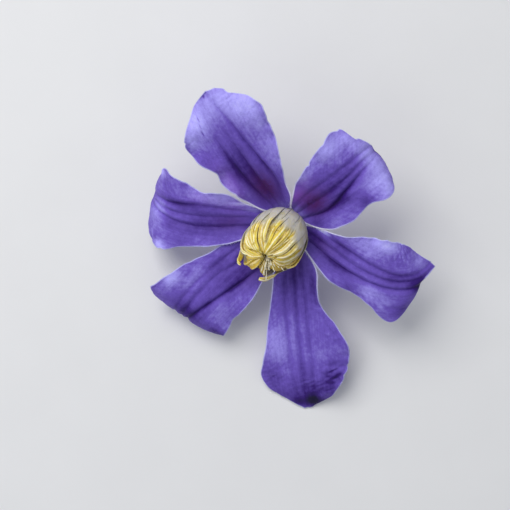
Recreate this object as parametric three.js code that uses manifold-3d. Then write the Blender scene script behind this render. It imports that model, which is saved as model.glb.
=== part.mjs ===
// A clematis flower, as picked, lying face up on a surface. Six violet tepals open out from a small
// receptacle, a barrel of stamens stands on it round a tuft of styles, and a short cut stalk bends down
// from its back. The flower leans, and rests on the tips of its two lower tepals and on its stalk.
// Millimetres and degrees, +Z up, angles counter-clockwise from +X. The origin is on the surface, under
// the middle of the flower's box.
import * as THREE from 'three';
import { mergeVertices } from 'three/addons/utils/BufferGeometryUtils.js';
import Module from 'manifold-3d';

// The whole flower: where the middle of its receptacle is, and which way its face leans
const CENTRE = new THREE.Vector3(-0.36, 9.33, 17.73);
const LEAN = 28;
const LEAN_HEADING = -115;

// Tepals: a blade of one thickness, grooved along its length, whose foot stands off the receptacle
const TEPAL_THICKNESS = 0.7;
const TEPAL_FOOT_RADIUS = 3.7;
const TEPAL_ROWS = 16;
const WIDTH_STATIONS = [0, 0.1, 0.2, 0.3, 0.4, 0.5, 0.6, 0.7, 0.8, 0.88, 0.94, 1];
const BEND_STATIONS = [0, 0.25, 0.5, 0.75, 1];
const SPINE_STEPS = 60;

// Grooves: the middle one follows the midrib and the others lie beside it, closer where the blade narrows
const GROOVE_SPACING = 3.3;
const GROOVE_NARROWING = 3.6;
const GROOVE_DEPTH = 0.9;
const GROOVE_SHARE_OF_SPACING = 0.27;
const GROOVE_STRENGTHS = [[-1, 1], [0, 0.75], [1, 1]];
const GROOVE_FADE = [0.5, 1, 1, 0.8, 0.2];
const LAST_SHOULDER = 0.88;

// Each edge waves up and down, more the further out it is from the midrib
const EDGE_WAVE_FADE = [0, 0.6, 1, 1, 0.5];
const EDGE_WAVE_POWER = 2.5;

// Each tepal: its heading, its length along the midrib, how the midrib rises and swings along that
// length, the widths on its counter-clockwise and clockwise sides, how far each side cups upwards, and
// the waves of each edge (height, number, start). Where rise falls far below zero, the tip rolls under.
const TEPALS = [
  {
    name: 'tepal_top_left', heading: 114, length: 42.5,
    rise: [16, 16, 14, 8, -8], swing: [0, 2, 2, 0, -4],
    ccw: [1.4, 4.2, 6.1, 8.2, 9.9, 9.2, 12.2, 13.4, 10.8, 7.6, 5.2, 0.8],
    cw: [1.4, 4.4, 5.4, 7.8, 9.3, 10.6, 11.2, 11.8, 12, 9.6, 5.6, 1.6],
    cupCcw: [25, 25, 15, 0, 0], cupCw: [25, 25, 15, 0, 0],
    waveCcw: [0.9, 4, 0.1], waveCw: [0.8, 2.5, 0.3],
  },
  {
    name: 'tepal_top_right', heading: 41, length: 35.5,
    rise: [16, 14, 4, -36, -125], swing: [-2, -3, -3, -3, -3],
    ccw: [1.4, 4.6, 8, 9.4, 10.8, 12, 13.3, 13.4, 10, 5.6, 3.4, 1],
    cw: [1.4, 5, 7.9, 9, 9.6, 8.9, 8.4, 9.9, 9.8, 7.5, 5, 1],
    cupCcw: [25, 20, 10, 0, 0], cupCw: [25, 20, 10, 0, 0],
    waveCcw: [1, 3.5, 0.2], waveCw: [0.9, 2.5, 0.5],
  },
  {
    name: 'tepal_right', heading: -24.5, length: 43.5,
    rise: [14, 14, 10, -4, -50], swing: [-8, -7, 4, 27, 72],
    ccw: [1.4, 3.6, 5.2, 8, 10.4, 11.8, 12.2, 12, 11, 11, 9.4, 1],
    cw: [1.4, 3.6, 5.2, 6.6, 7.6, 8, 9.4, 13.8, 7.4, 2, 1, 0.8],
    cupCcw: [25, 20, 10, 0, 0], cupCw: [25, 20, 0, -20, -40],
    waveCcw: [0.9, 3, 0.4], waveCw: [0.8, 3, 0.3],
  },
  {
    name: 'tepal_bottom', heading: -84.5, length: 53.5,
    rise: [13, 13, 10, 4, -15], swing: [0, 0, 0, 0, 0],
    ccw: [1.4, 4.4, 7, 7.6, 7.9, 11.2, 14, 13.7, 11.7, 8.2, 5.4, 1],
    cw: [1.4, 4, 5.6, 6.3, 7.6, 9.2, 9.9, 11.5, 12.4, 9.4, 5.4, 1.2],
    cupCcw: [25, 15, 5, 0, -10], cupCw: [25, 15, 5, 0, -10],
    waveCcw: [1, 3.5, 0.2], waveCw: [0.8, 3, 0.3],
  },
  {
    name: 'tepal_bottom_left', heading: -137, length: 47.5,
    rise: [17.2, 20.7, 16.3, -16.4, -150], swing: [0, 0, 2, 8, 14],
    ccw: [1.4, 4, 6, 7.5, 8.7, 9.2, 9.5, 10.4, 10.8, 9.6, 6.6, 1],
    cw: [1.4, 3.8, 6, 8.2, 9.3, 11.4, 12.8, 14, 13.4, 11, 7, 1],
    cupCcw: [25, 20, 5, -20, -20], cupCw: [15, -8, 0, 0, 0],
    waveCcw: [0.5, 3, 0], waveCw: [0.5, 3, 0.3],
  },
  {
    name: 'tepal_left', heading: 172, length: 43.8,
    rise: [14, 14, 8, -34, -120], swing: [0, 4, 2, -6, -18],
    ccw: [1.4, 3.8, 6, 7.3, 7.6, 8.4, 9.7, 11.8, 11, 9, 6, 1],
    cw: [1.4, 3.6, 5.2, 8, 8.6, 8.4, 10.2, 10.8, 11.6, 9.4, 5.5, 1],
    cupCcw: [30, 38, 20, 0, 0], cupCw: [25, 20, 10, 5, 0],
    waveCcw: [0.6, 3, 0], waveCw: [0.9, 2.5, 0.4],
  },
];

// Stamens: straps that leave a low rim on the receptacle, bulge outwards and close over the styles.
// The barrel droops to one side, where its mouth stays open.
const RIM_INSIDE = 1.6;
const RIM_OUTSIDE = 3.1;
const RIM_BOTTOM = 0.95;
const RIM_TOP = 2.2;
const RIM_CHAMFER = [0.5, 0.4];
const RIM_SIDES = 18;
const BARREL_DROOP = 15;
const BARREL_HEADING = -142;
const STAMEN_RINGS = [
  { count: 26, root: 2.65, bulge: 8, height: 16.5, close: 1.8, segments: 7 },
  { count: 16, root: 2.2, bulge: 6.2, height: 15.6, close: 2.2, segments: 6 },
  { count: 8, root: 1.95, bulge: 4.2, height: 14.2, close: 2.0, segments: 5 },
];
const STAMEN_ROOT_HEIGHT = 1.5;
const STAMEN_WIDTH_STATIONS = [0, 0.2, 0.4, 0.52, 0.8, 0.94, 1];
const STAMEN_WIDTHS = [0.7, 0.95, 1.1, 1.5, 1.5, 1.1, 0.6];
const STAMEN_RIDGE = 0.42;
const STAMEN_BACK = 0.34;
const STAMEN_SEED = 11;

// The whole range by which one strap differs from the next, and what the open side of the barrel adds
const STAMEN_SPREAD = { azimuth: 0.3, height: 1.4, close: 1.2, bulge: 0.08, swirl: 16, twist: 50 };
const MOUTH_SIDE = { height: -0.6, close: 3.6, bulge: 0.06, shoulder: 0.12 };
const MOUTH_BEGINS = -0.1;
const MOUTH_FULL = 0.9;

// Styles: fine threads on a small head of carpels inside the rim, leaning out of the barrel's mouth
const CARPELS_RADIUS = 1.15;
const CARPELS_HEIGHT = 2.4;
const CARPELS_SHOULDER = 0.6;
const CARPELS_SIDES = 10;
const STYLE_COUNT = 9;
const STYLE_HEIGHT = 15.4;
const STYLE_RADIUS = 0.3;
const STYLE_SHORTFALL = 1.6;
const STYLE_ROOT = 1;
const STYLE_GATHER = 0.55;
const STYLE_TAPER = 0.3;
const STYLE_REACH = 3.2;
const STYLE_BEND_FROM = 0.62;
const STYLE_SEGMENTS = 6;
const STYLE_SEED = 5;

// Receptacle and stalk, one grown piece: radii along its length, from the receptacle's flat top
const RECEPTACLE_TOP = 0.6;
const STALK_RADIUS = 1.0;
const STALK_PROFILE = [
  [0, 3.3], [0.04, 3.35], [0.08, 2.9], [0.13, 2.0], [0.2, 1.35], [0.3, 1.05], [1, STALK_RADIUS],
];
const STALK_SIDES = 12;
const STALK_RINGS = 14;
const STALK_DROP = 15;
const STALK_END = new THREE.Vector2(14, 21.5);
const STALK_END_HEADING = 58;
const STALK_END_RUN = 11;

const TEPAL_VIOLET = { color: '#6a56b4', roughness: 0.62, metalness: 0 };
const ANTHER_YELLOW = { color: '#d2b44e', roughness: 0.7, metalness: 0 };
const STYLE_WHITE = { color: '#ded9cf', roughness: 0.6, metalness: 0 };
const STALK_GREEN = { color: '#6f6a48', roughness: 0.65, metalness: 0 };

const wasm = await Module();
wasm.setup();
const radians = THREE.MathUtils.degToRad;

// A smooth curve through values given at stations from 0 to 1
function through(stations, values, t) {
  const last = stations.length - 1;
  let k = 0;
  while (k < last - 1 && t >= stations[k + 1]) k += 1;
  const rate = (i) => (values[i + 1] - values[i]) / (stations[i + 1] - stations[i]);
  const slope = (i) => {
    if (i === 0) return rate(0);
    if (i === last) return rate(last - 1);
    const before = stations[i] - stations[i - 1];
    const after = stations[i + 1] - stations[i];
    return (rate(i - 1) * after + rate(i) * before) / (before + after);
  };
  const step = stations[k + 1] - stations[k];
  const x = (t - stations[k]) / step;
  const rise = values[k + 1] - values[k];
  const first = slope(k) * step;
  const second = slope(k + 1) * step;
  return values[k] + x * (first + x * (3 * rise - 2 * first - second + x * (first + second - 2 * rise)));
}

// The same draws on every run
function seeded(seed) {
  let state = seed;
  return () => {
    state = (state * 16807) % 2147483647;
    return state / 2147483647;
  };
}

function geometryFrom(points, triangles) {
  const geometry = new THREE.BufferGeometry().setFromPoints(points);
  geometry.setIndex(triangles.flat());
  return geometry;
}

// The closed body swept by rings of the same number of points, capped at both ends. Each ring runs
// counter-clockwise when it is seen from the next one.
function loft(rings) {
  const sides = rings[0].length;
  const points = rings.flat();
  const triangles = [];
  for (let i = 0; i + 1 < rings.length; i += 1) {
    for (let j = 0; j < sides; j += 1) {
      const a = i * sides + j;
      const b = i * sides + ((j + 1) % sides);
      triangles.push([a, b, b + sides], [a, b + sides, a + sides]);
    }
  }
  const middle = (ring) => ring.reduce((sum, p) => sum.add(p), new THREE.Vector3()).divideScalar(sides);
  const start = points.push(middle(rings[0])) - 1;
  const end = points.push(middle(rings.at(-1))) - 1;
  const lastRing = (rings.length - 1) * sides;
  for (let j = 0; j < sides; j += 1) {
    const next = (j + 1) % sides;
    triangles.push([start, next, j], [end, lastRing + j, lastRing + next]);
  }
  return geometryFrom(points, triangles);
}

function solid(geometry) {
  const bare = geometry.clone();
  bare.deleteAttribute('normal');
  bare.deleteAttribute('uv');
  const merged = mergeVertices(bare, 1e-4);
  return new wasm.Manifold(new wasm.Mesh({
    numProp: 3,
    vertProperties: new Float32Array(merged.attributes.position.array),
    triVerts: new Uint32Array(merged.index.array),
  }));
}

function fused(geometries) {
  const mesh = geometries.map(solid).reduce((whole, one) => whole.add(one)).getMesh();
  const geometry = new THREE.BufferGeometry();
  geometry.setAttribute('position', new THREE.BufferAttribute(new Float32Array(mesh.vertProperties), 3));
  geometry.setIndex(new THREE.BufferAttribute(new Uint32Array(mesh.triVerts), 1));
  return geometry;
}

// The midrib's direction at u, with the blade's sideways and upward directions there
function midribFrame(tepal, u) {
  const rise = radians(through(BEND_STATIONS, tepal.rise, u));
  const heading = radians(tepal.heading + through(BEND_STATIONS, tepal.swing, u));
  const along = new THREE.Vector3(
    Math.cos(rise) * Math.cos(heading), Math.cos(rise) * Math.sin(heading), Math.sin(rise));
  const side = new THREE.Vector3(-Math.sin(heading), Math.cos(heading), 0);
  return { along, side, up: along.clone().cross(side) };
}

// Points along the midrib, from the foot to the tip
function midribOf(tepal) {
  const heading = radians(tepal.heading);
  const point = new THREE.Vector3(Math.cos(heading), Math.sin(heading), 0).multiplyScalar(TEPAL_FOOT_RADIUS);
  const points = [point.clone()];
  for (let i = 0; i < SPINE_STEPS; i += 1) {
    const { along } = midribFrame(tepal, (i + 0.5) / SPINE_STEPS);
    point.addScaledVector(along, tepal.length / SPINE_STEPS);
    points.push(point.clone());
  }
  return points;
}

function grooveSpacing(tepal, u) {
  const halfWidth = (through(WIDTH_STATIONS, tepal.ccw, u) + through(WIDTH_STATIONS, tepal.cw, u)) / 2;
  return GROOVE_SPACING * (1 - Math.exp(-halfWidth / GROOVE_NARROWING));
}

// A point of the blade's middle surface: u along the midrib, v from -1 at the clockwise edge to 1
function bladePoint(tepal, midrib, u, v) {
  const left = v >= 0;
  const width = through(WIDTH_STATIONS, left ? tepal.ccw : tepal.cw, u);
  const cup = radians(through(BEND_STATIONS, left ? tepal.cupCcw : tepal.cupCw, u)) || 1e-4;
  const out = Math.abs(v);
  const across = (Math.sign(v) * width * Math.sin(cup * out)) / cup;
  const spacing = grooveSpacing(tepal, u);
  const groove = GROOVE_STRENGTHS.reduce((sum, [place, strength]) => {
    const distance = (v * width - place * spacing) / (GROOVE_SHARE_OF_SPACING * spacing);
    return sum + strength * Math.exp(-distance * distance);
  }, 0);
  const [height, count, start] = left ? tepal.waveCcw : tepal.waveCw;
  const wave = height * Math.sin(2 * Math.PI * (count * u + start)) * out ** EDGE_WAVE_POWER
    * through(BEND_STATIONS, EDGE_WAVE_FADE, u);
  const lift = (width * (1 - Math.cos(cup * out))) / cup
    - GROOVE_DEPTH * through(BEND_STATIONS, GROOVE_FADE, u) * groove + wave;
  const step = Math.min(u * SPINE_STEPS, SPINE_STEPS - 1e-9);
  const k = Math.floor(step);
  const { side, up } = midribFrame(tepal, u);
  return midrib[k].clone().lerp(midrib[k + 1], step - k)
    .addScaledVector(side, across).addScaledVector(up, lift);
}

// Places across the blade at u: on the grooves, on the ridges between them, and out to both edges
function placesAcross(tepal, u) {
  const spacing = grooveSpacing(tepal, u);
  const sideOf = (width) => {
    const [ridge, groove, beyond] = [0.5, 1, 1.5].map((k) => (k * spacing) / width);
    const shoulder = Math.min(beyond, LAST_SHOULDER);
    return [ridge, groove, shoulder, ...[0.3, 0.65, 1].map((k) => shoulder + (1 - shoulder) * k)];
  };
  const ccw = sideOf(through(WIDTH_STATIONS, tepal.ccw, u));
  const cw = sideOf(through(WIDTH_STATIONS, tepal.cw, u));
  return [...cw.map((v) => -v).reverse(), 0, ...ccw];
}

function tepalGeometry(tepal) {
  const midrib = midribOf(tepal);
  const rows = Array.from({ length: TEPAL_ROWS + 1 }, (_, i) => i / TEPAL_ROWS);
  const columns = placesAcross(tepal, 0).length;
  const upper = [];
  const lower = [];
  const reach = 1e-3;
  for (const u of rows) {
    for (const v of placesAcross(tepal, u)) {
      const at = (du, dv) => bladePoint(tepal, midrib,
        THREE.MathUtils.clamp(u + du, 0, 1), THREE.MathUtils.clamp(v + dv, -1, 1));
      const along = at(reach, 0).sub(at(-reach, 0));
      const across = at(0, reach).sub(at(0, -reach));
      const half = along.cross(across).setLength(TEPAL_THICKNESS / 2);
      upper.push(at(0, 0).add(half));
      lower.push(at(0, 0).sub(half));
    }
  }
  const below = upper.length;
  const triangles = [];
  for (let i = 0; i < TEPAL_ROWS; i += 1) {
    for (let j = 0; j + 1 < columns; j += 1) {
      const a = i * columns + j;
      const corners = [[a, a + columns, a + columns + 1], [a, a + columns + 1, a + 1]];
      triangles.push(...corners, ...corners.map(([p, q, r]) => [p + below, r + below, q + below]));
    }
  }
  // The rim runs along the clockwise edge, round the tip and back along the other edge
  const last = TEPAL_ROWS * columns;
  const rim = [
    ...rows.slice(0, -1).map((_, i) => i * columns),
    ...Array.from({ length: columns }, (_, j) => last + j),
    ...rows.slice(0, -1).map((_, i) => last - 1 - i * columns),
    ...Array.from({ length: columns - 2 }, (_, j) => columns - 2 - j),
  ];
  rim.forEach((a, i) => {
    const b = rim[(i + 1) % rim.length];
    triangles.push([a, a + below, b + below], [a, b + below, b]);
  });
  return geometryFrom([...upper, ...lower], triangles);
}

// Leans the barrel: what stands higher in it lies further over to its drooping side
function drooped(point) {
  const shift = point.z * Math.tan(radians(BARREL_DROOP));
  const heading = radians(BARREL_HEADING);
  return new THREE.Vector3(
    point.x + shift * Math.cos(heading), point.y + shift * Math.sin(heading), point.z);
}

// A strap along a path of the barrel, as a four-sided body with a ridge outwards
function strap(path, segments, twist) {
  const rings = [];
  for (let i = 0; i <= segments; i += 1) {
    const t = i / segments;
    const point = path(t);
    const along = path(Math.min(t + 0.01, 1)).sub(path(Math.max(t - 0.01, 0))).normalize();
    const out = new THREE.Vector3(point.x, point.y, 0).normalize();
    out.addScaledVector(along, -out.dot(along)).normalize().applyAxisAngle(along, twist * t);
    const side = out.clone().cross(along);
    const width = through(STAMEN_WIDTH_STATIONS, STAMEN_WIDTHS, t);
    const slim = Math.min(1, 0.5 + width / 2);
    const corner = (x, y) => point.clone().addScaledVector(side, x).addScaledVector(out, y);
    rings.push([
      corner(width / 2, 0), corner(0, STAMEN_RIDGE * slim),
      corner(-width / 2, 0), corner(0, -STAMEN_BACK * slim),
    ]);
  }
  return loft(rings);
}

function stamenPath(ring, azimuth, random) {
  // 1 on the side where the mouth opens, 0 on the side where the barrel closes like a hood
  const facing = Math.cos(radians(azimuth - BARREL_HEADING));
  const open = THREE.MathUtils.smoothstep(facing, MOUTH_BEGINS, MOUTH_FULL);
  const height = ring.height + STAMEN_SPREAD.height * (random() - 0.5) + MOUTH_SIDE.height * open;
  const close = ring.close + STAMEN_SPREAD.close * random() + MOUTH_SIDE.close * open;
  const bulge = ring.bulge * (1 + STAMEN_SPREAD.bulge * (random() - 0.5) + MOUTH_SIDE.bulge * open);
  const swirl = STAMEN_SPREAD.swirl * (random() - 0.5);
  const curve = new THREE.CubicBezierCurve(
    new THREE.Vector2(ring.root, STAMEN_ROOT_HEIGHT),
    new THREE.Vector2(bulge * 1.25, STAMEN_ROOT_HEIGHT + 0.6),
    new THREE.Vector2(bulge * (1.2 + MOUTH_SIDE.shoulder * open), height),
    new THREE.Vector2(close, height));
  return (t) => {
    const { x: radius, y: rise } = curve.getPoint(t);
    const angle = radians(azimuth + swirl * t * t);
    return drooped(new THREE.Vector3(radius * Math.cos(angle), radius * Math.sin(angle), rise));
  };
}

function stamensGeometry() {
  const random = seeded(STAMEN_SEED);
  const rim = new THREE.LatheGeometry([
    [RIM_INSIDE, RIM_BOTTOM], [RIM_OUTSIDE, RIM_BOTTOM], [RIM_OUTSIDE, RIM_TOP - RIM_CHAMFER[1]],
    [RIM_OUTSIDE - RIM_CHAMFER[0], RIM_TOP], [RIM_INSIDE, RIM_TOP], [RIM_INSIDE, RIM_BOTTOM],
  ].map(([x, y]) => new THREE.Vector2(x, y)), RIM_SIDES).rotateX(Math.PI / 2);
  const straps = STAMEN_RINGS.flatMap((ring, level) => Array.from({ length: ring.count }, (_, i) => {
    const azimuth = (360 / ring.count) * (i + level / 2 + STAMEN_SPREAD.azimuth * (random() - 0.5));
    const path = stamenPath(ring, azimuth, random);
    return strap(path, ring.segments, radians(STAMEN_SPREAD.twist * (random() - 0.5)));
  }));
  return fused([rim, ...straps]);
}

// A ring of points about a place, square to a direction
function ringAbout(place, along, radius, sides, start) {
  const side = start.clone().addScaledVector(along, -start.dot(along)).normalize();
  const other = along.clone().cross(side);
  return Array.from({ length: sides }, (_, j) => {
    const angle = (2 * Math.PI * j) / sides;
    return place.clone().addScaledVector(side, radius * Math.cos(angle))
      .addScaledVector(other, radius * Math.sin(angle));
  });
}

function stylesGeometry() {
  const random = seeded(STYLE_SEED);
  const foot = RIM_BOTTOM;
  const carpels = new THREE.LatheGeometry([
    [0, foot], [CARPELS_RADIUS, foot], [CARPELS_RADIUS, foot + CARPELS_HEIGHT * CARPELS_SHOULDER],
    [CARPELS_RADIUS * CARPELS_SHOULDER, foot + CARPELS_HEIGHT], [0, foot + CARPELS_HEIGHT],
  ].map(([x, y]) => new THREE.Vector2(x, y)), CARPELS_SIDES).rotateX(Math.PI / 2);
  const across = new THREE.Vector3(1, 0, 0);
  const mouth = radians(BARREL_HEADING);
  const threads = Array.from({ length: STYLE_COUNT }, (_, i) => {
    const angle = radians((360 / STYLE_COUNT) * i);
    const height = STYLE_HEIGHT - STYLE_SHORTFALL * random();
    const reach = STYLE_REACH * (0.3 + 0.7 * random());
    const path = (t) => {
      const spread = STYLE_GATHER + 0.1 * t;
      const lean = (reach * t * Math.max(0, t - STYLE_BEND_FROM)) / (1 - STYLE_BEND_FROM);
      return drooped(new THREE.Vector3(
        spread * Math.cos(angle) + lean * Math.cos(mouth),
        spread * Math.sin(angle) + lean * Math.sin(mouth),
        foot + STYLE_ROOT + (height - STYLE_ROOT) * t));
    };
    const rings = Array.from({ length: STYLE_SEGMENTS + 1 }, (_, k) => {
      const t = k / STYLE_SEGMENTS;
      const along = path(Math.min(t + 0.01, 1)).sub(path(Math.max(t - 0.01, 0))).normalize();
      return ringAbout(path(t), along, STYLE_RADIUS * (1 - STYLE_TAPER * t), 4, across);
    });
    return loft(rings);
  });
  return fused([carpels, ...threads]);
}

// Upright on the flower's own axis to its place in the leaning flower
function flowerPlacement() {
  const heading = new THREE.Vector3(Math.cos(radians(LEAN_HEADING)), Math.sin(radians(LEAN_HEADING)), 0);
  const hinge = new THREE.Vector3(0, 0, 1).cross(heading);
  return new THREE.Matrix4().makeRotationAxis(hinge, radians(LEAN)).setPosition(CENTRE);
}

function stalkGeometry(placement) {
  const axis = new THREE.Vector3(0, 0, 1).transformDirection(placement);
  const endHeading = radians(STALK_END_HEADING);
  const end = new THREE.Vector3(CENTRE.x + STALK_END.x, CENTRE.y + STALK_END.y, STALK_RADIUS);
  const run = new THREE.Vector3(Math.cos(endHeading), Math.sin(endHeading), 0);
  const path = new THREE.CubicBezierCurve3(
    CENTRE.clone().addScaledVector(axis, RECEPTACLE_TOP), CENTRE.clone().addScaledVector(axis, -STALK_DROP),
    end.clone().addScaledVector(run, -STALK_END_RUN), end);
  const stations = STALK_PROFILE.map(([t]) => t);
  const radii = STALK_PROFILE.map(([, radius]) => radius);
  const flared = stations.slice(0, -1);
  const plain = STALK_RINGS - flared.length;
  const places = [...flared, ...Array.from({ length: plain },
    (_, i) => THREE.MathUtils.lerp(flared.at(-1), 1, (i + 1) / plain))];
  const side = new THREE.Vector3(Math.cos(endHeading + Math.PI / 2), Math.sin(endHeading + Math.PI / 2), 0);
  return loft(places.map((t) => ringAbout(
    path.getPointAt(t), path.getTangentAt(t), through(stations, radii, t), STALK_SIDES, side)));
}

function piece(name, geometry, finish) {
  geometry.computeVertexNormals();
  const mesh = new THREE.Mesh(geometry, new THREE.MeshStandardMaterial(finish));
  mesh.name = name;
  return mesh;
}

const placement = flowerPlacement();
const flower = new THREE.Group();
flower.applyMatrix4(placement);
TEPALS.forEach((tepal) => flower.add(piece(tepal.name, tepalGeometry(tepal), TEPAL_VIOLET)));
flower.add(piece('stamens', stamensGeometry(), ANTHER_YELLOW));
flower.add(piece('styles', stylesGeometry(), STYLE_WHITE));

const clematis = new THREE.Group();
clematis.add(flower);
clematis.add(piece('stalk', stalkGeometry(placement), STALK_GREEN));

export default clematis;
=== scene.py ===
import math

import bpy
import numpy as np
from mathutils import Matrix, Vector


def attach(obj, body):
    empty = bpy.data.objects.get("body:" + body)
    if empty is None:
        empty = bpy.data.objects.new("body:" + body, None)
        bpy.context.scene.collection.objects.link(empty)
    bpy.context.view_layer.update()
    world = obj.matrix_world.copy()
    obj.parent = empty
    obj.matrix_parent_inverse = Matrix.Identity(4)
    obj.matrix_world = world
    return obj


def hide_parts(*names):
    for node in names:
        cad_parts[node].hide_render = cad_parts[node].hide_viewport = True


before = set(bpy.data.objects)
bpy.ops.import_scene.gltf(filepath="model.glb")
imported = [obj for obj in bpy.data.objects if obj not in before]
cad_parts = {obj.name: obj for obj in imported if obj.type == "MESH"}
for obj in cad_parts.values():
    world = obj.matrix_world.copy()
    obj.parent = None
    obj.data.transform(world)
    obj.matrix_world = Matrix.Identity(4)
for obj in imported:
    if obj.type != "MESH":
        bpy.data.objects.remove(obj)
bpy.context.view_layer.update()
MM = 0.001

# How far the flower's lowest points stay above the surface that it lies on
REST_HEIGHT = 0.02

# The whole flower: where the middle of its receptacle is, and which way its face leans
CENTRE = (-0.36, 9.33, 17.73)
LEAN = 28
LEAN_HEADING = -115

# The view: straight down on the flower, with the photograph's scale at the height of its centre
IMAGE_SIDE = 510
FLOWER_AT_PIXEL = (288, 222)
MM_PER_PIXEL = 0.28
CAMERA_ABOVE_FLOWER = 420
SENSOR = 36

# Tepals. Half widths are given at the outline stations, and rise, swing, cup, grooves and fade at the bend
# stations, with ccw and cw for the two sides of the midrib. A wave is its height, its count along the edge
# and its start, and a groove its places across and its depths. A nick in the margin is its share along, its
# side, its reach along and its depth, and one with a negative depth is a bump. Tones, wine, blush and
# crinkles are soft patches of lighter or darker violet, of wine red, of magenta and of fine ripples: share
# along, millimetres across, the reach both ways and how much.
OUTLINE_STATIONS = (0, 0.1, 0.2, 0.3, 0.4, 0.5, 0.6, 0.7, 0.8, 0.88, 0.94, 1)
BEND_STATIONS = (0, 0.25, 0.5, 0.75, 1)
TEPAL_FOOT_RADIUS = 3.7
TEPAL_THICKNESS = 0.46
TEPAL_EDGE_THICKNESS = 0.2
TEPAL_ROWS = 220
TEPAL_COLUMNS = 100
GROOVE_DEPTH = 0.9
GROOVE_HALF_WIDTH = 0.8
GROOVE_LINE_WIDTH = 0.7
EDGE_WAVE_FADE = (0, 0.6, 1, 1, 0.5)
EDGE_WAVE_POWER = 2.5
FRILL_HEIGHT = 0.35
FRILL_LENGTH = 2.1

# The relief of a blade, in millimetres: veins that branch over its side wings, strands along its middle,
# quilting between the veins, pebbled skin, and the ripples of the crinkled places, which the tone repeats
# as painted shading, lighter on their crests and darker in their troughs
WING_BEGINS = 3.0
WING_FULL = 6.5
BRANCH_DEPTH = 0.045
BRANCH_SLANT = 0.9
BRANCH_SPACING = 1.25
STRAND_DEPTH = 0.04
STRAND_SPACING = 0.75
QUILT_HEIGHT = 0.09
PEBBLE_HEIGHT = 0.03
RIPPLE_HEIGHT = 0.1
RIPPLE_SLANT = 0.35
RIPPLE_SPACING = 0.6
RIPPLE_PAINTED_SHADING = 0.35

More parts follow.
